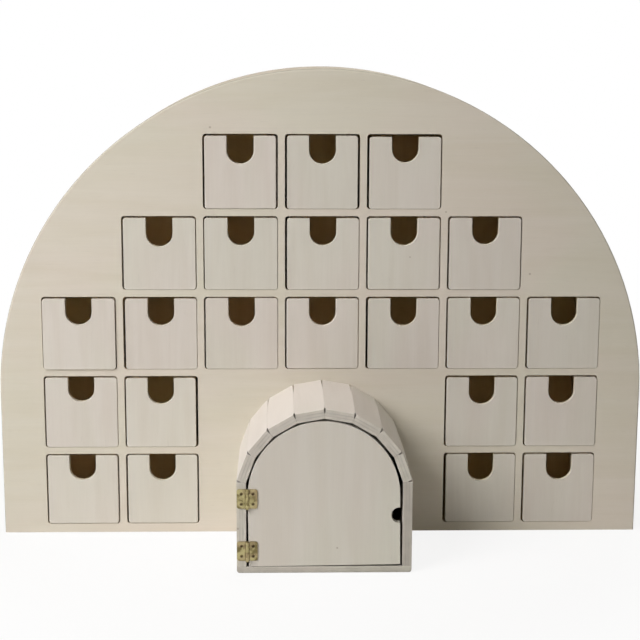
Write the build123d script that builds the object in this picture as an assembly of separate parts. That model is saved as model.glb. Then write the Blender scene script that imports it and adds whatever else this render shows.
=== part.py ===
from build123d import *
from math import cos, radians, sin, tan
import os

# A half-round wooden advent calendar: a case of drawers with an arched porch and a hinged door.
# Lengths are in millimetres, with X to the right, Y to the back and Z up.
# The origin is the middle of the case's underside.

# Drawer grid: rows are counted from the bottom, columns from the middle one
row_reach_counts = (3, 3, 3, 2, 1)  # columns on each side of the middle one, in each row
porch_row_count = 2            # rows that make room for the porch
porch_reach_count = 1          # columns on each side that these rows leave out with the middle one
hole_size = 49.4               # opening for one drawer in the front panel
bar_width = 4.6                # wood between two openings

# Case
side_margin = 29.0             # from the outermost opening to the side
crown_margin = 42.0            # from the highest opening to the crown
case_depth = 70.0
front_panel_thickness = 5.0
back_panel_thickness = 3.0
rim_thickness = 3.0
base_thickness = 6.0
panel_edge_radius = 1.0        # rounding of the panels' outer edges

# Crate of cross-halved boards behind the front panel
crate_thickness = 3.0
crate_stub = 4.0               # how far a board runs on past its last crossing
crate_slot_fit = 0.2           # free width in each slot

# Drawers
drawer_side_gap = 1.0
drawer_top_gap = 1.3
drawer_floor_gap = 0.2
drawer_rear_gap = 0.5
drawer_front_thickness = 4.0
drawer_wall_thickness = 3.0
drawer_bottom_thickness = 2.5
drawer_corner_radius = 1.8
drawer_wall_drop = 3.0         # from the top of the front down to the top of the walls
drawer_stand_out = 1.2         # how far the drawer that is pushed in least stands out
notch_width = 17.7
notch_depth = 19.6             # from the top of the opening

# Gaps to the left, to the right and above each drawer, as shares of the side and top gaps
drawer_gap_shares = (
    ((1.0, 0.9, 0.9), (1.2, 1.0, 0.8), (2.0, 0.3, 0.9), (1.5, 0.3, 1.0)),
    ((1.0, 0.4, 0.9), (1.0, 1.6, 1.2), (1.3, 0.4, 1.2), (1.2, 0.3, 1.0)),
    (
        (0.6, 0.7, 1.0), (1.6, 0.3, 1.0), (1.1, 0.3, 0.7), (1.1, 0.3, 1.0),
        (1.6, 0.3, 1.0), (1.2, 0.4, 0.8), (1.4, 0.3, 0.9),
    ),
    ((1.2, 0.6, 1.0), (0.8, 0.3, 1.0), (1.5, 0.4, 1.1), (1.2, 0.6, 1.0), (1.3, 0.7, 0.9)),
    ((1.3, 1.1, 1.0), (1.5, 1.5, 0.9), (1.6, 0.8, 1.5)),
)

# Drawers that aren't pushed right in, by row and column, as shares of the largest stand-out
drawer_stand_out_shares = {(1, 2): 0.4, (1, 3): 0.4, (2, -3): 1.0, (3, 2): 0.4}

# Finger notches cut less or more deeply than most, by row and column, as shares of the notch depth
drawer_notch_shares = {
    (0, -3): 0.94, (0, -2): 0.965, (0, 2): 1.025, (1, -3): 0.905, (1, 2): 1.03, (2, -3): 0.965,
    (2, -1): 1.035, (2, 1): 1.02, (3, -2): 1.04, (3, 2): 0.965, (4, 1): 0.95,
}

# Porch
stave_count = 8
porch_width = 110.8
porch_depth = 81.5
porch_headroom = 7.3           # from the crown up to the drawer openings above it
porch_wall_thickness = 6.0
porch_floor_thickness = 4.2
porch_floor_corner_radius = 1.8
slit_front_width = 1.9         # gap in the outer part of each mitre, at the front end of the roof
slit_back_width = 1.2          # the same at the back end
slit_depth = 3.2
slit_front_run = 6.0           # length over which the gap closes from the front end
slit_back_run = 24.0           # length over which it closes from the back end

# Door
door_thickness = 5.5
door_hinge_gap = 1.4
door_latch_gap = 1.6
door_foot_gap = 0.15           # under the lowest corner
door_arch_lift = 0.4           # from the springing of the porch up to that of the door's arch
door_tilt = 0.65               # degrees that the door hangs out of true, its top to the left
door_notch_radius = 5.2
door_notch_inset = 0.3         # from the door's edge in to the notch's centre
door_notch_drop = 13.2         # from the springing of the arch down to the notch

# Hinges
hinge_height = 12.6
hinge_leaf_width = 6.5         # from the pin's axis to the edge of the leaf
hinge_leaf_thickness = 0.6
hinge_corner_radius = 1.4
knuckle_count = 5
knuckle_radius = 1.3
knuckle_stand_off = 0.1        # from the wood to the back of the knuckles
knuckle_gap = 0.12
upper_hinge_drop = 1.5         # from the springing of the arch down to the hinge's middle
lower_hinge_rise = 9.8         # from the foot of the door up to the hinge's middle
pin_radius = 0.6
pin_clearance = 0.05
pin_head_radius = 0.95
pin_head_height = 0.4

# Hinge nails
nail_radius = 0.5
nail_length = 4.2              # length in the wood
nail_clearance = 0.03
nail_head_radius = 1.0
nail_head_height = 0.45
nail_spacing = 6.6             # between the two nails of a leaf
nail_dome_share = 0.8          # part of the head's height that is rounded
nail_dimple_radius = 0.45
nail_dimple_depth = 0.3

cut_overrun = 2.0              # how far each cut runs past the wood

# Places worked out from the sizes above
pitch = hole_size + bar_width
row_count = len(row_reach_counts)
grid_reach = max(row_reach_counts)
case_half_width = grid_reach * pitch + hole_size / 2 + side_margin
case_height = base_thickness + row_count * pitch - bar_width + crown_margin
case_spring = case_height - case_half_width

y_front = -case_depth / 2
y_back = case_depth / 2
y_crate_front = y_front + front_panel_thickness
y_crate_back = y_back - back_panel_thickness
y_crate_middle = (y_crate_front + y_crate_back) / 2
y_porch = y_front - porch_depth

hole_corner_radius = drawer_corner_radius + drawer_side_gap / 2
y_tray = y_front + drawer_front_thickness
y_tray_end = y_crate_back - drawer_rear_gap

stave_angle = 180 / (stave_count + 1)
mitre_slope = tan(radians(stave_angle / 2))
porch_half_width = porch_width / 2
porch_crown_radius = porch_half_width / cos(radians(stave_angle / 2))
porch_spring = base_thickness + porch_row_count * pitch - porch_headroom - porch_crown_radius
porch_half_room = porch_half_width - porch_wall_thickness
slit_root = porch_half_width - slit_depth

door_left = -porch_half_room + door_hinge_gap
door_right = porch_half_room - door_latch_gap
door_middle = (door_left + door_right) / 2
door_half_width = (door_right - door_left) / 2
door_foot = porch_floor_thickness + door_foot_gap + door_half_width * sin(radians(door_tilt))

hinge_x = -porch_half_room + door_hinge_gap / 2
hinge_y = y_porch - knuckle_radius - knuckle_stand_off
hinge_centres = (porch_spring - upper_hinge_drop, door_foot + lower_hinge_rise)
nail_reach = (door_hinge_gap + porch_wall_thickness) / 2
y_leaf = y_porch - hinge_leaf_thickness


def slab(face, y_near, y_far):
    """Board with the outline of a face drawn in X and Z, from y_near back to y_far."""
    return extrude(Plane.XZ.offset(-y_far) * face, y_far - y_near)


def block(x_range, y_range, z_range):
    """Square-edged board between three pairs of places."""
    size = [high - low for low, high in (x_range, y_range, z_range)]
    middle = [(low + high) / 2 for low, high in (x_range, y_range, z_range)]
    return Pos(*middle) * Box(*size)


def peg(x, z, radius, y_near, y_far):
    """Round bar along Y."""
    return slab(Pos(x, z) * Circle(radius), y_near, y_far)


def arch_face(half_width, spring, foot):
    """Half-round arch on straight sides, in X and Z."""
    sides = Polyline((half_width, spring), (half_width, foot), (-half_width, foot), (-half_width, spring))
    return make_face(sides + CenterArc((0, spring), half_width, 0, 180))


def group(*pieces):
    """Separate solids that make up one node."""
    return Compound([solid for piece in pieces for solid in piece.solids()])


def has_drawer(row, column):
    """Whether the grid holds a drawer in this place."""
    if not 0 <= row < row_count:
        return False
    in_porch = row < porch_row_count and abs(column) <= porch_reach_count
    return abs(column) <= row_reach_counts[row] and not in_porch


def row_columns(row):
    """Columns of a row that hold a drawer, from the left."""
    return [column for column in range(-grid_reach, grid_reach + 1) if has_drawer(row, column)]


def row_floor(row):
    """Height that the drawers of a row stand on."""
    return base_thickness + row * pitch


def divider_x(edge):
    """Middle of the divider to the left of a column."""
    return (edge - 1 / 2) * pitch


def divider_rows(edge):
    """Rows that have a drawer on either side of a divider."""
    return [row for row in range(row_count) if has_drawer(row, edge - 1) or has_drawer(row, edge)]


def divider_levels(edge):
    """Shelf levels that a divider crosses; level 0 is the base."""
    rows = divider_rows(edge)
    return range(max(rows[0], 1), rows[-1] + 2)


def shelf_runs(level):
    """Runs of neighbouring columns that need a shelf at a level, as first and last columns."""
    runs = []
    for column in range(-grid_reach, grid_reach + 1):
        if not (has_drawer(level - 1, column) or has_drawer(level, column)):
            continue
        if runs and runs[-1][1] == column - 1:
            runs[-1][1] = column
        else:
            runs.append([column, column])
    return runs


def half_round_board(y_near, y_far, shown):
    """Half-round board with rounded edges on its shown face: 0 for the near face, -1 for the far one."""
    board = slab(arch_face(case_half_width, case_spring, 0), y_near, y_far)
    outline = board.edges().group_by(Axis.Y)[shown].sort_by(Axis.Z)[1:]
    return fillet(outline, panel_edge_radius)


def front_panel():
    """Half-round front with one opening per drawer."""
    board = half_round_board(y_front, y_crate_front, 0)
    hole = RectangleRounded(hole_size, hole_size, hole_corner_radius)
    for row in range(row_count):
        for column in row_columns(row):
            opening = Pos(column * pitch, row_floor(row) + hole_size / 2) * hole
            board -= slab(opening, y_front - cut_overrun, y_crate_front + cut_overrun)
    return board


def back_panel():
    """Plain back of the same outline."""
    return half_round_board(y_crate_back, y_back, -1)


def rim():
    """Bent board between the two panels, open at the bottom."""
    outer = arch_face(case_half_width, case_spring, 0)
    inner = arch_face(case_half_width - rim_thickness, case_spring, -cut_overrun)
    return slab(outer - inner, y_crate_front, y_crate_back)


def base_board():
    """Bottom of the case, between the rim's two ends."""
    half_width = case_half_width - rim_thickness
    return block((-half_width, half_width), (y_crate_front, y_crate_back), (0, base_thickness))


def divider(edge):
    """Upright crate board, slotted from the front at each shelf."""
    rows = divider_rows(edge)
    foot = base_thickness
    if rows[0] > 0:
        foot = row_floor(rows[0]) - crate_thickness - crate_stub
    top = row_floor(rows[-1] + 1) + crate_stub
    left = divider_x(edge) - crate_thickness / 2
    right = left + crate_thickness
    board = block((left, right), (y_crate_front, y_crate_back), (foot, top))
    slot_x = (left - cut_overrun, right + cut_overrun)
    slot_y = (y_crate_front - cut_overrun, y_crate_middle + crate_slot_fit / 2)
    for level in divider_levels(edge):
        slot_top = row_floor(level) + crate_slot_fit / 2
        board -= block(slot_x, slot_y, (slot_top - crate_thickness - crate_slot_fit, slot_top))
    return board


def shelf(level, first, last):
    """Level crate board, slotted from the back at each divider."""
    left = divider_x(first) - crate_thickness / 2 - crate_stub
    right = divider_x(last + 1) + crate_thickness / 2 + crate_stub
    top = row_floor(level)
    board = block((left, right), (y_crate_front, y_crate_back), (top - crate_thickness, top))
    slot_y = (y_crate_middle - crate_slot_fit / 2, y_crate_back + cut_overrun)
    slot_z = (top - crate_thickness - cut_overrun, top + cut_overrun)
    half_slot = (crate_thickness + crate_slot_fit) / 2
    for edge in range(first, last + 2):
        if level in divider_levels(edge):
            x = divider_x(edge)
            board -= block((x - half_slot, x + half_slot), slot_y, slot_z)
    return board


def drawer_edges(row, place):
    """Left, right, lower and upper edges of a drawer's front."""
    left_share, right_share, top_share = drawer_gap_shares[row][place]
    middle = row_columns(row)[place] * pitch
    left = middle - hole_size / 2 + left_share * drawer_side_gap
    right = middle + hole_size / 2 - right_share * drawer_side_gap
    foot = row_floor(row) + drawer_floor_gap
    top = row_floor(row) + hole_size - top_share * drawer_top_gap
    return left, right, foot, top


def stand_out(row, place):
    """How far a drawer stands out of the front panel."""
    column = row_columns(row)[place]
    return drawer_stand_out_shares.get((row, column), 0) * drawer_stand_out


def notch_bottom(row, place):
    """Height of the lowest point of a drawer's finger notch."""
    column = row_columns(row)[place]
    return row_floor(row) + hole_size - drawer_notch_shares.get((row, column), 1) * notch_depth


def drawer(row, place):
    """Drawer of five boards, with a finger notch in the top of its front."""
    left, right, foot, top = drawer_edges(row, place)
    middle = (left + right) / 2
    notch_radius = notch_width / 2
    notch_centre = notch_bottom(row, place) + notch_radius
    notch_height = top - notch_centre + cut_overrun
    face = Pos(middle, (foot + top) / 2) * RectangleRounded(right - left, top - foot, drawer_corner_radius)
    face -= Pos(middle, notch_centre + notch_height / 2) * Rectangle(notch_width, notch_height)
    face -= Pos(middle, notch_centre) * Circle(notch_radius)
    front = slab(face, y_front, y_tray)

    half_tray = (right - left) / 2 - drawer_corner_radius
    half_room = half_tray - drawer_wall_thickness
    left_wall = (middle - half_tray, middle - half_room)
    right_wall = (middle + half_room, middle + half_tray)
    between = (middle - half_room, middle + half_room)
    y_room_end = y_tray_end - drawer_wall_thickness
    wall_z = (foot, top - drawer_wall_drop)
    boards = group(
        front,
        block(left_wall, (y_tray, y_tray_end), wall_z),
        block(right_wall, (y_tray, y_tray_end), wall_z),
        block(between, (y_room_end, y_tray_end), wall_z),
        block(between, (y_tray, y_room_end), (foot, foot + drawer_bottom_thickness)),
    )
    return Pos(0, -stand_out(row, place)) * boards


def mitre_line(gap):
    """Edge of a board on a mitre from inside to outside, set back outside by half a gap."""
    reaches = (porch_half_room, slit_root, porch_half_width)
    setbacks = (0, 0, gap / 2)
    return [(mitre_slope * reach - setback, reach) for reach, setback in zip(reaches, setbacks)]


def porch_board(outline_points):
    """Board along the porch whose mitres close from a gap at each end; takes the outline for a gap."""
    sections = (
        (y_porch, slit_front_width),
        (y_porch + slit_front_run, 0),
        (y_front - slit_back_run, 0),
        (y_front, slit_back_width),
    )
    faces = [
        Plane.XZ.offset(-y) * make_face(Polyline(*outline_points(gap), close=True))
        for y, gap in sections
    ]
    return loft(faces, ruled=True)


def porch_stave(number):
    """Roof stave with two mitred edges."""
    def outline_points(gap):
        right = mitre_line(gap)
        return right + [(-x, z) for x, z in reversed(right)]

    turn = (number - (stave_count - 1) / 2) * stave_angle
    return Pos(0, 0, porch_spring) * Rot(Y=turn) * porch_board(outline_points)


def porch_wall(side):
    """Upright wall of the porch, mitred at its top; side is -1 on the left and 1 on the right."""
    def outline_points(gap):
        top = [(side * reach, porch_spring + rise) for rise, reach in mitre_line(gap)]
        return [(side * porch_half_room, porch_floor_thickness)] + top + [
            (side * porch_half_width, porch_floor_thickness)
        ]

    return porch_board(outline_points)


def porch_floor():
    """Floor under the porch walls, with rounded lower edges."""
    floor = block((-porch_half_width, porch_half_width), (y_porch, y_front), (0, porch_floor_thickness))
    return fillet(floor.edges().filter_by(Axis.Y).group_by(Axis.Z)[0], porch_floor_corner_radius)


def nail_places(side):
    """Nail positions of both hinges on one leaf; side is -1 on the frame and 1 on the door."""
    x = hinge_x + side * nail_reach
    return [(x, centre + end * nail_spacing / 2) for centre in hinge_centres for end in (-1, 1)]


def drill_nails(wood, side):
    """Drill the nail holes of one side's leaves."""
    for x, z in nail_places(side):
        wood -= peg(x, z, nail_radius + nail_clearance, y_porch - cut_overrun, y_porch + nail_length)
    return wood


def door():
    """Arched door with a finger notch in its free edge, hung slightly out of true."""
    face = Pos(door_middle, 0) * arch_face(door_half_width, porch_spring + door_arch_lift, door_foot)
    face -= Pos(door_right - door_notch_inset, porch_spring - door_notch_drop) * Circle(door_notch_radius)
    pivot = Pos(door_middle, (door_foot + porch_spring) / 2)
    board = slab(pivot * Rot(Z=door_tilt) * pivot.inverse() * face, y_porch, y_porch + door_thickness)
    return drill_nails(board, 1)


def hinge_leaf(side, centre):
    """One leaf with its knuckles; the frame's leaf has the end knuckles."""
    foot = centre - hinge_height / 2
    knuckle_height = hinge_height / knuckle_count
    inner = knuckle_radius + knuckle_gap
    plate_width = hinge_leaf_width - inner
    plate = Pos(hinge_x + side * (inner + plate_width / 2), centre) * Rectangle(plate_width, hinge_height)
    outer_corners = plate.vertices().group_by(Axis.X)[-1 if side > 0 else 0]
    leaf = slab(fillet(outer_corners, hinge_corner_radius), y_leaf, y_porch)

    first = 0 if side < 0 else 1
    for number in range(first, knuckle_count, 2):
        low = foot + number * knuckle_height + knuckle_gap / 2
        high = foot + (number + 1) * knuckle_height - knuckle_gap / 2
        tab_x = sorted((hinge_x, hinge_x + side * (inner + plate_width / 2)))
        leaf += block(tab_x, (y_leaf, y_porch), (low, high))
        leaf += Pos(hinge_x, hinge_y, (low + high) / 2) * Cylinder(knuckle_radius, high - low)

    bore_height = hinge_height + 2 * cut_overrun
    leaf -= Pos(hinge_x, hinge_y, centre) * Cylinder(pin_radius + pin_clearance, bore_height)
    for x, z in nail_places(side):
        leaf -= peg(x, z, nail_radius + nail_clearance, y_leaf - cut_overrun, y_porch + cut_overrun)
    return leaf


def hinge_pin(centre):
    """Pin with a flat head at each end, seated on the end knuckles."""
    seat = (hinge_height - knuckle_gap) / 2
    pin = Cylinder(pin_radius, 2 * seat)
    for end in (-1, 1):
        pin += Pos(0, 0, end * (seat + pin_head_height / 2)) * Cylinder(pin_head_radius, pin_head_height)
    return Pos(hinge_x, hinge_y, centre) * pin


def nail(x, z):
    """Round-head nail with a dimple, through a leaf into the wood."""
    head = peg(x, z, nail_head_radius, y_leaf - nail_head_height, y_leaf)
    rim_edge = head.edges().filter_by(GeomType.CIRCLE).sort_by(Axis.Y)[0]
    head = fillet(rim_edge, nail_head_height * nail_dome_share)
    y_head = y_leaf - nail_head_height
    head -= peg(x, z, nail_dimple_radius, y_head - cut_overrun, y_head + nail_dimple_depth)
    return head + peg(x, z, nail_radius, y_leaf, y_porch + nail_length)


def all_nodes():
    """Every node's shape by its name."""
    nodes = {
        "front_panel": front_panel(),
        "back_panel": back_panel(),
        "rim": rim(),
        "base_board": base_board(),
        "porch_left_wall": drill_nails(porch_wall(-1), -1),
        "porch_right_wall": porch_wall(1),
        "porch_floor": porch_floor(),
        "door": door(),
        "hinge_frame_leaves": group(*[hinge_leaf(-1, centre) for centre in hinge_centres]),
        "hinge_door_leaves": group(*[hinge_leaf(1, centre) for centre in hinge_centres]),
        "hinge_pins": group(*[hinge_pin(centre) for centre in hinge_centres]),
        "hinge_frame_nails": group(*[nail(x, z) for x, z in nail_places(-1)]),
        "hinge_door_nails": group(*[nail(x, z) for x, z in nail_places(1)]),
    }
    for number in range(stave_count):
        nodes[f"porch_stave_{number + 1}"] = porch_stave(number)
    for number, edge in enumerate(range(-grid_reach, grid_reach + 2)):
        nodes[f"divider_{number + 1}"] = divider(edge)
    for level in range(1, row_count + 1):
        runs = shelf_runs(level)
        for (first, last), side in zip(runs, ("_left", "_right") if len(runs) > 1 else ("",)):
            nodes[f"shelf_{level}{side}"] = shelf(level, first, last)
    for row in range(row_count):
        for place, column in enumerate(row_columns(row)):
            name = f"drawer_row{row_count - row}_col{column + grid_reach + 1}"
            nodes[name] = drawer(row, place)
    return nodes


os.makedirs("parts", exist_ok=True)
for name, shape in all_nodes().items():
    export_step(shape, f"parts/{name}.step")
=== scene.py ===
import math

import bpy
from mathutils import Euler, Matrix, Vector


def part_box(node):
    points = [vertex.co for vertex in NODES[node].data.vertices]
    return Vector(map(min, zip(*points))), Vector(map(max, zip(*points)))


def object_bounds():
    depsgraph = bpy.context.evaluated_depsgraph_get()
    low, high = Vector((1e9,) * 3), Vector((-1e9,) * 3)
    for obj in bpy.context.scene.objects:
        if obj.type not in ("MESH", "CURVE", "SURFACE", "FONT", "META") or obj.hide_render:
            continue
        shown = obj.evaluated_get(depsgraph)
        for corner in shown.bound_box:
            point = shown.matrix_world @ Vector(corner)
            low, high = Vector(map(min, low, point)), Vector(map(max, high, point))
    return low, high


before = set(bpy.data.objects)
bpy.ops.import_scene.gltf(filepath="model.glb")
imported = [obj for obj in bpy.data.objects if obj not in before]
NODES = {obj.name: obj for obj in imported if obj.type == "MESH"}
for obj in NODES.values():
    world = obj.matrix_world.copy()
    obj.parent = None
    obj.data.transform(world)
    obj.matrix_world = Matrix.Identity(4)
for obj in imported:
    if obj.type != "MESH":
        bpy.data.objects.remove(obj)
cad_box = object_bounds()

MM = 0.001
CASE_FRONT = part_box("front_panel")[0][1]
PORCH_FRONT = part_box("porch_floor")[0][1]

# Camera, fitted to the photograph
CAMERA_PLACE = (-26.5 * MM, -1032.0 * MM, 338.2 * MM)
CAMERA_LENS = 85.39                  # millimetres
CAMERA_SENSOR = 36.0                 # millimetres
CAMERA_PITCH = 10.82                 # degrees down
CAMERA_YAW = 1.45                    # degrees towards the right
CAMERA_ROLL = 0.21                   # degrees anticlockwise
LEVEL_PITCH = 90                     # degrees up from straight down, where an unturned camera looks

# Lamps and surroundings, in metres and watts
LAMP_TARGET = (-0.06, -0.08, 0.07)
PLAIN_LIGHT = (1.0, 0.99, 0.975)
WARM_LIGHT = (1.0, 0.95, 0.86)
LAMPS = {                            # place, size, spread in degrees, power and colour
    "key": ((-0.73, -0.66, 0.75), 0.75, 100, 4.36, PLAIN_LIGHT),
    "fill": ((0.26, -0.09, 0.95), 0.50, 180, 2.0, WARM_LIGHT),
    "back": ((0.50, 1.20, 0.80), 0.60, 180, 5.0, PLAIN_LIGHT),
}
AMBIENT_LIGHT = (0.014, 0.012, 0.008)
WHITE = (1.0, 1.0, 1.0)
LIGHT_BOUNCES = 10

# Floor, in metres
FLOOR_HALF_WIDTH = 8.0
FLOOR_DROP = 0.02 * MM               # below the object's underside
FLOOR_COLOUR = (0.86, 0.855, 0.845)
FLOOR_PALER = 1.01                   # how much paler its palest speckles are
FLOOR_NOISE = (90.0, 3.0)            # waves per metre and detail
FLOOR_NOISE_RANGE = (0.2, 0.8)
FLOOR_ROUGHNESS = 0.9
FLOOR_SPECULAR = 0.1
FLOOR_WHITENESS = (0.86, 1.0)        # share of plain white beside the object and away from it
FLOOR_SHADOW_REACH = (0.20, 0.42)    # from the middle, where it starts to whiten and is whitest

# Wood colours, the palest and the deepest of each wood
PANEL_TONES = ((0.66, 0.612, 0.54), (0.635, 0.583, 0.50))
RIM_TONES = ((0.56, 0.51, 0.43), (0.52, 0.465, 0.38))
DRAWER_TONES = ((0.648, 0.61, 0.562), (0.618, 0.574, 0.52))
STAVE_TONES = ((0.677, 0.64, 0.602), (0.647, 0.608, 0.565))
DOOR_TONES = ((0.648, 0.621, 0.568), (0.622, 0.589, 0.53))
INSIDE_TONES = ((0.87, 0.78, 0.61), (0.82, 0.725, 0.545))
DRAWER_FRONT_THICKNESS = 4.0 * MM    # halfway through it, a drawer turns to raw inner wood
BLUSH = (1.015, 0.992, 0.985)        # tint of pinkish patches
SALLOW = (0.993, 1.004, 0.968)       # tint of yellowish patches
TONE_SWING = 0.012                   # how far the tones of the pieces differ from 1
TONE_STEP = 2.4                      # radians of that swing from one piece to the next
GRAIN_STEP = 0.37                    # metres from one piece's stretch of grain to the next

# Wood figure: each noise has its waves per metre along and across the grain, detail and any distortion
BAND_NOISE = (9.0, 85.0, 4.0, 0.8)
BAND_RANGE = (0.3, 0.75)             # of the noise, from the palest tone to the deepest
PATCH_NOISE = (7.0, 13.0, 2.0, 0.4)
PATCH_RANGE = (0.35, 0.65)           # from pinkish to yellowish
FIBRE_NOISE = (40.0, 1500.0, 2.0)
FIBRE_RANGE = (0.25, 0.75)
FIBRE_SHADES = (0.987, 1.01)
FLECK_NOISE = (120.0, 900.0, 1.0)
FLECK_RANGE = (0.70, 0.82)
FLECK_SHADES = (1.0, 0.96)
BAND_HEIGHT = 0.5                    # beside that of fibres and flecks, which is 1
GRAIN_BUMP = (0.2, 0.05 * MM)        # strength and height
ROUGHNESS_RANGE = (0.2, 0.8)         # of the fibres' noise
WOOD_ROUGHNESS = (0.62, 0.76)
WOOD_SPECULAR = 0.25

# Pin knots on the fronts of boards, in millimetres: place in X and Z, and radius
PANEL_KNOTS = ((-73.5, 275.6, 0.7), (138.7, 178.7, 0.7), (81.8, 220.2, 0.6))
DRAWER_KNOTS = ((58.4, 190.1, 0.5),)
DOOR_KNOTS = ((8.1, 16.4, 0.6),)
WALL_KNOTS = ((-54.6, 29.3, 0.7),)
KNOT_COLOUR = (0.20, 0.14, 0.085)
KNOT_STRENGTH = 0.5
KNOT_REACH_SHARES = (0.4, 1.5)       # of its radius, where a knot starts to fade and ends

# Cut front ends of the porch boards: how dark they are beside their faces, their layers and glue lines
END_TONES = {"porch_left_wall": 0.87, "porch_right_wall": 0.68, "porch_floor": 0.77}
STAVE_END_TONE = 0.85
END_TINT = (1.0, 1.0, 0.965)
END_FACING = (0.6, 0.95)             # how far to the front a normal points, from face to cut end
LAYER_SHARE = 1 / 3                  # of a board's thickness
LAYER_SHADES = (0.97, 1.015)         # of the middle layer and the outer ones
LAYER_REACH_SHARES = (0.14, 0.19)    # of the thickness from the middle, where one turns to the other
GLUE_REACH_SHARES = (0.02, 0.09)     # of the thickness from a glue line, where it starts to fade and ends
GLUE_NOISE = (70.0, 2.0)             # waves per metre and detail
GLUE_RANGE = (0.35, 0.65)
GLUE_SHADES = (0.82, 0.97)
BLOTCH_NOISE = (130.0, 3.0)
BLOTCH_RANGE = (0.3, 0.7)
BLOTCH_SHADES = (0.95, 1.06)

# Painted shade in the slits between the porch boards, darker where other faces are near
SLIT_REACH = 4.0 * MM                # how near another face must be to paint shade on a board
SLIT_SAMPLES = 8
SLIT_OPENNESS = (0.30, 0.75)         # where the painted shade is full and where it ends
PAINTED_SLIT_SHADE = 0.45
SLIT_DEPTHS = (8.0 * MM, 20.0 * MM)  # behind the porch front, where the painted shade starts to fade and ends

# Outer edges of the half-round panels: darker, partly as their end grain and partly as painted shade that
# dims the light on the rounded edges
PANEL_EDGE_GRAIN_AND_SHADE = 0.62
PANEL_EDGE_REACH = (3.0 * MM, 1.0 * MM)  # from the outline, where this tone begins and is full
PANEL_EDGE_FACING = (0.55, 0.97)     # how far to the front or back a normal points, from edge to face

# Brass: pale, dull and ruddy colours of the leaves and the nails, and the surface
LEAF_COLOURS = ((0.46, 0.40, 0.20), (0.18, 0.145, 0.063), (0.38, 0.295, 0.17))
# The nails' colours are darkened as painted shade, for the shade in the holes they sit in
NAIL_SHADED_COLOURS = ((0.15, 0.12, 0.06), (0.08, 0.06, 0.03), (0.13, 0.09, 0.05))
TARNISH_NOISE = (260.0, 4.0, 0.5)    # waves per metre, detail and distortion
TARNISH_RANGE = (0.38, 0.62)
RUDDY_NOISE = (150.0, 2.0)
RUDDY_RANGE = (0.48, 0.60)
RUDDY_STRENGTH = 0.6
BRUSHING_SCALE = (300.0, 300.0, 5000.0)
BRUSHING_DETAIL = 2.0
BRUSHING_BUMP = (0.2, 0.03 * MM)     # strength and height
GLOSS_RANGE = (0.3, 0.7)             # of the tarnish
BRASS_ROUGHNESS = (0.32, 0.52)
NAIL_DIMPLE_DEPTH = 0.3 * MM
# painted shade at the bottom of the nails' dimples
DIMPLE_SHADE_COLOUR = (0.03, 0.022, 0.012)
DIMPLE_FACING = -0.97                # where a normal counts as straight to the front

# Rounded edges
EDGE_ROUND = 0.6 * MM
SHARP_EDGE_ROUND = 0.2 * MM          # of the porch and the boards inside the case
BRASS_EDGE_ROUND = 0.12 * MM
EDGE_SEGMENTS = 2
EDGE_ANGLE = 35                      # degrees, from which an edge is rounded
FLAT_ANGLE = 0.3                     # degrees, up to which neighbouring faces count as one
WELD_DISTANCE = 0.002 * MM


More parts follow.
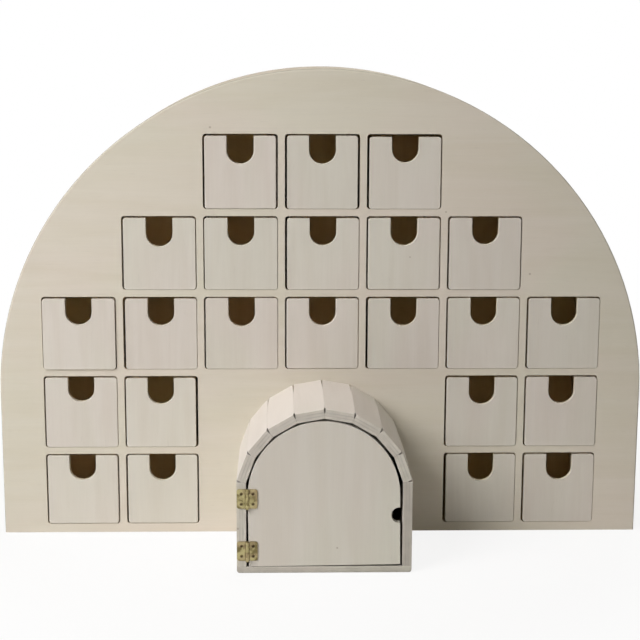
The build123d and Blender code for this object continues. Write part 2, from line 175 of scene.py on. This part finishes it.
class Paint:
    """A material's nodes, added one at a time around one principled shader."""

    def __init__(self, name):
        self.material = bpy.data.materials.new(name)
        self.material.use_nodes = True
        self.tree = self.material.node_tree
        self.tree.nodes.clear()
        self.shader = self.tree.nodes.new("ShaderNodeBsdfPrincipled")
        self.output = self.tree.nodes.new("ShaderNodeOutputMaterial")
        self.tree.links.new(self.shader.outputs["BSDF"], self.output.inputs["Surface"])

    def feed(self, socket, value):
        """Link a socket to another node's output, or set it to a plain value."""
        if isinstance(value, bpy.types.NodeSocket):
            self.tree.links.new(value, socket)
        else:
            socket.default_value = value

    def surface(self, inputs):
        """The material, with the shader's inputs by name."""
        for name, value in inputs.items():
            self.feed(self.shader.inputs[name], value)
        return self.material

    def add(self, kind, inputs, **settings):
        """New node of a kind, with its inputs by name or number."""
        node = self.tree.nodes.new(kind)
        for name, value in settings.items():
            setattr(node, name, value)
        for key, value in inputs.items():
            self.feed(node.inputs[key], value)
        return node

    def math(self, operation, first, second=0.0, third=0.0):
        node = self.add("ShaderNodeMath", {0: first, 1: second, 2: third}, operation=operation)
        return node.outputs[0]

    def product(self, first, *others):
        """Product of numbers, in their order."""
        for other in others:
            first = self.math("MULTIPLY", first, other)
        return first

    def vector(self, operation, first, second):
        node = self.add("ShaderNodeVectorMath", {0: first, 1: second}, operation=operation)
        return node.outputs[0]

    def distance(self, first, second):
        node = self.add("ShaderNodeVectorMath", {0: first, 1: second}, operation="DISTANCE")
        return node.outputs["Value"]

    def split(self, vector):
        return self.add("ShaderNodeSeparateXYZ", {0: vector}).outputs

    def noise(self, place, scales, detail, distortion=0.0):
        """Noise from 0 to 1, with its own scale along each axis."""
        stretched = self.vector("MULTIPLY", place, scales)
        inputs = {"Vector": stretched, "Scale": 1.0, "Detail": detail, "Distortion": distortion}
        return self.add("ShaderNodeTexNoise", inputs).outputs["Fac"]

    def even_noise(self, place, scale, detail, distortion=0.0):
        """Noise from 0 to 1, with one scale along all axes."""
        return self.noise(place, (scale, scale, scale), detail, distortion)

    def grain_noise(self, place, grain, lengthways, across, detail, distortion=0.0):
        """Noise from 0 to 1, with one scale along the grain and another across it."""
        scales = tuple(lengthways if axis == grain else across for axis in "XYZ")
        return self.noise(place, scales, detail, distortion)

    def between(self, value, low, high, new_low=0.0, new_high=1.0):
        """Smooth step of a value from one range to another."""
        inputs = {"Value": value, "From Min": low, "From Max": high}
        inputs.update({"To Min": new_low, "To Max": new_high})
        node = self.add("ShaderNodeMapRange", inputs, interpolation_type="SMOOTHSTEP")
        return node.outputs["Result"]

    def mix(self, share, first, second, blend="MIX"):
        """Mix of two colours."""
        inputs = {0: share, 6: opaque(first), 7: opaque(second)}
        return self.add("ShaderNodeMix", inputs, data_type="RGBA", blend_type=blend).outputs[2]

    def attribute(self, name):
        """Number that each object carries."""
        node = self.add("ShaderNodeAttribute", {}, attribute_type="OBJECT", attribute_name=name)
        return node.outputs["Fac"]

    def coordinate(self, name):
        """Place or normal in the object's own frame."""
        return self.add("ShaderNodeTexCoord", {}).outputs[name]

    def bump(self, height, strength, distance):
        inputs = {"Height": height, "Strength": strength, "Distance": distance}
        return self.add("ShaderNodeBump", inputs).outputs["Normal"]


def opaque(colour):
    """Colour with full alpha, or a link as it is."""
    return colour if isinstance(colour, bpy.types.NodeSocket) else (*colour, 1.0)


def figure(paint, place, tones, grain):
    """Wood colour in soft bands and broad pinkish and yellowish patches."""
    patches = paint.grain_noise(place, grain, *PATCH_NOISE)
    bands = paint.grain_noise(place, grain, *BAND_NOISE)
    colour = paint.mix(paint.between(bands, *BAND_RANGE), *tones)
    tint = paint.mix(paint.between(patches, *PATCH_RANGE), BLUSH, SALLOW)
    return bands, paint.mix(1.0, colour, tint, "MULTIPLY")


def end_grain(paint, plain, place):
    """How far a place lies on a front end, and the shade of its three layers with their glue lines."""
    facing = paint.math("MULTIPLY", paint.split(paint.coordinate("Normal"))[1], -1.0)
    end = paint.between(facing, *END_FACING)
    across, _, up = paint.split(plain)
    start = paint.attribute("layer_start")
    through = paint.math("MULTIPLY_ADD", across, paint.attribute("layer_x"), start)
    through = paint.math("MULTIPLY_ADD", up, paint.attribute("layer_z"), through)
    from_middle = paint.math("ABSOLUTE", paint.math("SUBTRACT", through, 1 / 2))
    from_line = paint.math("ABSOLUTE", paint.math("SUBTRACT", from_middle, LAYER_SHARE / 2))
    glue = paint.between(paint.even_noise(place, *GLUE_NOISE), *GLUE_RANGE, *GLUE_SHADES)
    lines = paint.between(from_line, *GLUE_REACH_SHARES, glue, 1.0)
    layers = paint.between(from_middle, *LAYER_REACH_SHARES, *LAYER_SHADES)
    blotches = paint.between(paint.even_noise(place, *BLOTCH_NOISE), *BLOTCH_RANGE, *BLOTCH_SHADES)
    return end, paint.product(lines, layers, blotches, paint.attribute("end_tone"))


def painted_slit_shade(paint, plain):
    """Painted shade of the porch boards in the slits between them, darker where other faces are near,
    which fades behind the porch front.
    """
    occlusion = paint.add("ShaderNodeAmbientOcclusion", {"Distance": SLIT_REACH}, samples=SLIT_SAMPLES)
    near, far = (PORCH_FRONT + depth for depth in SLIT_DEPTHS)
    deepest = paint.between(paint.split(plain)[1], near, far, PAINTED_SLIT_SHADE, 1.0)
    return paint.between(occlusion.outputs["AO"], *SLIT_OPENNESS, deepest, 1.0)


def outline_grain_and_painted_shade(paint, plain):
    """Shade of the half-round panels, darker on the outer edges between their two faces, partly as end
    grain and partly as painted shade.
    """
    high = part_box("front_panel")[1]
    radius = high[0]
    across, _, up = paint.split(plain)
    rise = paint.math("MAXIMUM", paint.math("SUBTRACT", up, high[2] - radius), 0.0)
    flat_place = paint.add("ShaderNodeCombineXYZ", {0: across, 2: rise}).outputs[0]
    reach = paint.distance(flat_place, (0.0, 0.0, 0.0))
    start, full = (radius - depth for depth in PANEL_EDGE_REACH)
    # darker outer edges: end grain and painted shade
    tone = paint.between(reach, start, full, 1.0, PANEL_EDGE_GRAIN_AND_SHADE)
    facing = paint.math("ABSOLUTE", paint.split(paint.coordinate("Normal"))[1])
    return paint.between(facing, *PANEL_EDGE_FACING, tone, 1.0)


def wood(name, tones, grain, knots=(), inside_from=None, ends=False, outline=False):
    """Bare sanded wood with soft figure, fine fibres, short dark flecks and pin knots.

    Past inside_from, a place in Y, it turns to raw inner wood. With ends, its front ends show layers
    and take each object's own end_tone, and its slits get painted shade. With outline, its outer
    edges are darker, partly as end grain and partly as painted shade.
    """
    paint = Paint(name)
    plain = paint.coordinate("Object")
    shift = paint.attribute("grain_shift")
    offset = paint.add("ShaderNodeCombineXYZ", {0: shift, 1: shift, 2: shift}).outputs[0]
    place = paint.vector("ADD", plain, offset)

    bands, colour = figure(paint, place, tones, grain)
    if inside_from is not None:
        inner = figure(paint, place, INSIDE_TONES, grain)[1]
        inside = paint.math("GREATER_THAN", paint.split(plain)[1], inside_from)
        colour = paint.mix(inside, colour, inner)

    fibres = paint.grain_noise(place, grain, *FIBRE_NOISE)
    flecks = paint.grain_noise(place, grain, *FLECK_NOISE)
    fibre_shade = paint.between(fibres, *FIBRE_RANGE, *FIBRE_SHADES)
    fleck_shade = paint.between(flecks, *FLECK_RANGE, *FLECK_SHADES)
    shade = paint.product(fibre_shade, fleck_shade, paint.attribute("tone"))
    if ends:
        end, end_shade = end_grain(paint, plain, place)
        colour = paint.mix(end, colour, paint.mix(1.0, colour, END_TINT, "MULTIPLY"))
        change = paint.math("SUBTRACT", end_shade, 1.0)
        change = paint.math("MULTIPLY_ADD", end, change, 1.0)
        # the end layers, and painted shade in the slits between the boards
        shade = paint.product(shade, change, painted_slit_shade(paint, plain))
    if outline:
        # end grain and painted shade on the outer edges
        shade = paint.product(shade, outline_grain_and_painted_shade(paint, plain))
    grey = paint.add("ShaderNodeCombineColor", {0: shade, 1: shade, 2: shade}).outputs[0]
    colour = paint.mix(1.0, colour, grey, "MULTIPLY")
    for centre, radius in knots:
        full, gone = (radius * share for share in KNOT_REACH_SHARES)
        spot = paint.between(paint.distance(plain, centre), full, gone, KNOT_STRENGTH, 0.0)
        colour = paint.mix(spot, colour, KNOT_COLOUR)

    height = paint.math("MULTIPLY_ADD", bands, BAND_HEIGHT, fibres)
    height = paint.math("SUBTRACT", height, paint.between(flecks, *FLECK_RANGE))
    return paint.surface({
        "Base Color": colour,
        "Roughness": paint.between(fibres, *ROUGHNESS_RANGE, *WOOD_ROUGHNESS),
        "Normal": paint.bump(height, *GRAIN_BUMP),
        "Specular IOR Level": WOOD_SPECULAR,
    })


def on_front(knots, front):
    """Places and radii of knots on boards whose front lies at a place in Y."""
    return [((x * MM, front, z * MM), radius * MM) for x, z, radius in knots]


def brass(name, pale, dull, ruddy, dimple_from=None):
    """Thin pressed brass, brushed and tarnished in patches.

    Past dimple_from, a place in Y, what faces straight to the front is the bottom of a dimple, coloured
    dark as painted shade.
    """
    paint = Paint(name)
    place = paint.coordinate("Object")
    tarnish = paint.even_noise(place, *TARNISH_NOISE)
    brushing = paint.noise(place, BRUSHING_SCALE, BRUSHING_DETAIL)
    patches = paint.even_noise(place, *RUDDY_NOISE)
    colour = paint.mix(paint.between(tarnish, *TARNISH_RANGE), pale, dull)
    colour = paint.mix(paint.between(patches, *RUDDY_RANGE, 0.0, RUDDY_STRENGTH), colour, ruddy)
    if dimple_from is not None:
        sunk = paint.math("GREATER_THAN", paint.split(place)[1], dimple_from)
        flat = paint.math("LESS_THAN", paint.split(paint.coordinate("Normal"))[1], DIMPLE_FACING)
        # painted shade at the bottom of the dimple
        colour = paint.mix(paint.product(sunk, flat), colour, DIMPLE_SHADE_COLOUR)
    return paint.surface({
        "Base Color": colour,
        "Roughness": paint.between(tarnish, *GLOSS_RANGE, *BRASS_ROUGHNESS),
        "Normal": paint.bump(brushing, *BRUSHING_BUMP),
        "Metallic": 1.0,
    })


def give(names, material, edge_round):
    """Give nodes a material and slightly rounded edges."""
    for name in names:
        piece = NODES[name]
        piece.data.materials.clear()
        piece.data.materials.append(material)
        weld = piece.modifiers.new("weld", "WELD")
        weld.merge_threshold = WELD_DISTANCE
        flat = piece.modifiers.new("flat", "DECIMATE")
        flat.decimate_type = "DISSOLVE"
        flat.angle_limit = math.radians(FLAT_ANGLE)
        bevel = piece.modifiers.new("edges", "BEVEL")
        bevel.width = edge_round
        bevel.segments = EDGE_SEGMENTS
        bevel.limit_method = "ANGLE"
        bevel.angle_limit = math.radians(EDGE_ANGLE)
        bevel.harden_normals = True


def named(start):
    """Nodes whose names begin alike."""
    return [name for name in NODES if name.startswith(start)]


def number_pieces():
    """Give each piece but the staves its own stretch of grain, and all their tones and end tones."""
    staves = named("porch_stave_")
    for index, name in enumerate(sorted(NODES)):
        NODES[name]["grain_shift"] = 0.0 if name in staves else GRAIN_STEP * index
        NODES[name]["tone"] = 1.0 + TONE_SWING * math.sin(TONE_STEP * index)
        NODES[name]["end_tone"] = END_TONES.get(name, STAVE_END_TONE)


def measure_layers(names):
    """Give boards the numbers that turn a place into its share of the way through their thickness."""
    for name in names:
        mesh = NODES[name].data
        outward = max(mesh.polygons, key=lambda face: face.area).normal
        depths = [outward.dot(vertex.co) for vertex in mesh.vertices]
        thickness = max(depths) - min(depths)
        NODES[name]["layer_x"] = outward.x / thickness
        NODES[name]["layer_z"] = outward.z / thickness
        NODES[name]["layer_start"] = -min(depths) / thickness


def dress_case():
    """Materials of the half-round case and the boards inside it."""
    panel_knots = on_front(PANEL_KNOTS, CASE_FRONT)
    panel_wood = wood("panel_wood", PANEL_TONES, "X", panel_knots, outline=True)
    give(["front_panel", "back_panel"], panel_wood, EDGE_ROUND)
    give(["rim"], wood("rim_wood", RIM_TONES, "Y"), EDGE_ROUND)
    give(named("divider_"), wood("divider_wood", INSIDE_TONES, "Z"), SHARP_EDGE_ROUND)
    give(named("shelf_") + ["base_board"], wood("shelf_wood", INSIDE_TONES, "X"), SHARP_EDGE_ROUND)


def dress_drawers():
    """Material of the drawers, raw behind their fronts."""
    drawer_knots = on_front(DRAWER_KNOTS, CASE_FRONT)
    inside_from = CASE_FRONT + DRAWER_FRONT_THICKNESS / 2
    drawer_wood = wood("drawer_wood", DRAWER_TONES, "Z", drawer_knots, inside_from=inside_from)
    give(named("drawer_"), drawer_wood, EDGE_ROUND)


def dress_porch():
    """Materials of the porch and its door."""
    measure_layers(named("porch_"))
    stave_wood = wood("stave_wood", STAVE_TONES, "Y", ends=True)
    give(named("porch_stave_") + ["porch_floor"], stave_wood, SHARP_EDGE_ROUND)
    wall_wood = wood("wall_wood", STAVE_TONES, "Z", on_front(WALL_KNOTS, PORCH_FRONT), ends=True)
    give(["porch_left_wall", "porch_right_wall"], wall_wood, SHARP_EDGE_ROUND)
    give(["door"], wood("door_wood", DOOR_TONES, "Z", on_front(DOOR_KNOTS, PORCH_FRONT)), EDGE_ROUND)


def dress_hinges():
    """Materials of the hinges and their nails."""
    leaf_brass = brass("leaf_brass", *LEAF_COLOURS)
    give(["hinge_frame_leaves", "hinge_door_leaves", "hinge_pins"], leaf_brass, BRASS_EDGE_ROUND)
    nails = ["hinge_frame_nails", "hinge_door_nails"]
    dimple_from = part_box(nails[0])[0][1] + NAIL_DIMPLE_DEPTH / 2
    # dark nails: painted shade of their holes
    give(nails, brass("nail_brass", *NAIL_SHADED_COLOURS, dimple_from), BRASS_EDGE_ROUND)


def seen_rays(tree):
    """1 for camera, glossy and transmission rays, and 0 for the rest."""
    path = tree.nodes.new("ShaderNodeLightPath")
    total = path.outputs["Is Camera Ray"]
    for name in ("Is Glossy Ray", "Is Transmission Ray"):
        larger = tree.nodes.new("ShaderNodeMath")
        larger.operation = "MAXIMUM"
        tree.links.new(total, larger.inputs[0])
        tree.links.new(path.outputs[name], larger.inputs[1])
        total = larger.outputs[0]
    return total


def surroundings():
    """White to look at, and a dim even light on the object."""
    world = bpy.data.worlds.new("studio")
    world.use_nodes = True
    tree = world.node_tree
    tree.nodes.clear()
    light = tree.nodes.new("ShaderNodeBackground")
    light.inputs["Color"].default_value = opaque(AMBIENT_LIGHT)
    white = tree.nodes.new("ShaderNodeBackground")
    white.inputs["Color"].default_value = opaque(WHITE)
    mix = tree.nodes.new("ShaderNodeMixShader")
    output = tree.nodes.new("ShaderNodeOutputWorld")
    tree.links.new(seen_rays(tree), mix.inputs[0])
    tree.links.new(light.outputs[0], mix.inputs[1])
    tree.links.new(white.outputs[0], mix.inputs[2])
    tree.links.new(mix.outputs[0], output.inputs["Surface"])
    bpy.context.scene.world = world


def floor_paint():
    """Pale speckled paint that keeps the shadow near the object and fades to white around it."""
    paint = Paint("floor_paint")
    place = paint.coordinate("Object")
    speckles = paint.between(paint.even_noise(place, *FLOOR_NOISE), *FLOOR_NOISE_RANGE)
    paler = tuple(value * FLOOR_PALER for value in FLOOR_COLOUR)
    distance = paint.add("ShaderNodeVectorMath", {0: place}, operation="LENGTH").outputs["Value"]
    away = paint.between(distance, *FLOOR_SHADOW_REACH, *FLOOR_WHITENESS)
    white = paint.add("ShaderNodeEmission", {"Color": opaque(WHITE)}).outputs[0]
    share = paint.product(away, seen_rays(paint.tree))
    mix = paint.add("ShaderNodeMixShader", {0: share, 1: paint.shader.outputs[0], 2: white})
    paint.feed(paint.output.inputs["Surface"], mix.outputs[0])
    return paint.surface({
        "Base Color": paint.mix(speckles, FLOOR_COLOUR, paler),
        "Roughness": FLOOR_ROUGHNESS,
        "Specular IOR Level": FLOOR_SPECULAR,
    })


def floor():
    """Wide flat floor just below the object."""
    half = FLOOR_HALF_WIDTH
    corners = [(-half, -half, 0), (half, -half, 0), (half, half, 0), (-half, half, 0)]
    mesh = bpy.data.meshes.new("floor")
    mesh.from_pydata(corners, [], [(0, 1, 2, 3)])
    mesh.materials.append(floor_paint())
    board = bpy.data.objects.new("floor", mesh)
    board.location.z = cad_box[0][2] - FLOOR_DROP
    bpy.context.scene.collection.objects.link(board)


def aim(lamp, target):
    """Turn a lamp towards a point."""
    lamp.rotation_euler = (Vector(target) - lamp.location).to_track_quat("-Z", "Y").to_euler()


def lamps():
    """Soft key lamp at the upper left of the front, a weak fill from above and one for the back."""
    for name, (place, size, spread, power, colour) in LAMPS.items():
        data = bpy.data.lights.new(name, "AREA")
        data.shape = "DISK"
        data.size = size
        data.spread = math.radians(spread)
        data.energy = power
        data.color = colour
        lamp = bpy.data.objects.new(name, data)
        lamp.location = place
        aim(lamp, LAMP_TARGET)
        bpy.context.scene.collection.objects.link(lamp)


def camera():
    """Camera at the photograph's viewing angle."""
    data = bpy.data.cameras.new("camera")
    data.lens = CAMERA_LENS
    data.sensor_width = CAMERA_SENSOR
    eye = bpy.data.objects.new("camera", data)
    eye.location = CAMERA_PLACE
    pitch = math.radians(LEVEL_PITCH - CAMERA_PITCH)
    upright = Euler((pitch, 0, math.radians(-CAMERA_YAW))).to_matrix()
    eye.rotation_euler = (upright @ Matrix.Rotation(math.radians(CAMERA_ROLL), 3, "Z")).to_euler()
    bpy.context.scene.collection.objects.link(eye)
    bpy.context.scene.camera = eye


number_pieces()
dress_case()
dress_drawers()
dress_porch()
dress_hinges()
surroundings()
floor()
lamps()
camera()
bpy.context.scene.view_settings.view_transform = "Standard"
bpy.context.scene.cycles.max_bounces = LIGHT_BOUNCES
bpy.context.scene.cycles.diffuse_bounces = LIGHT_BOUNCES
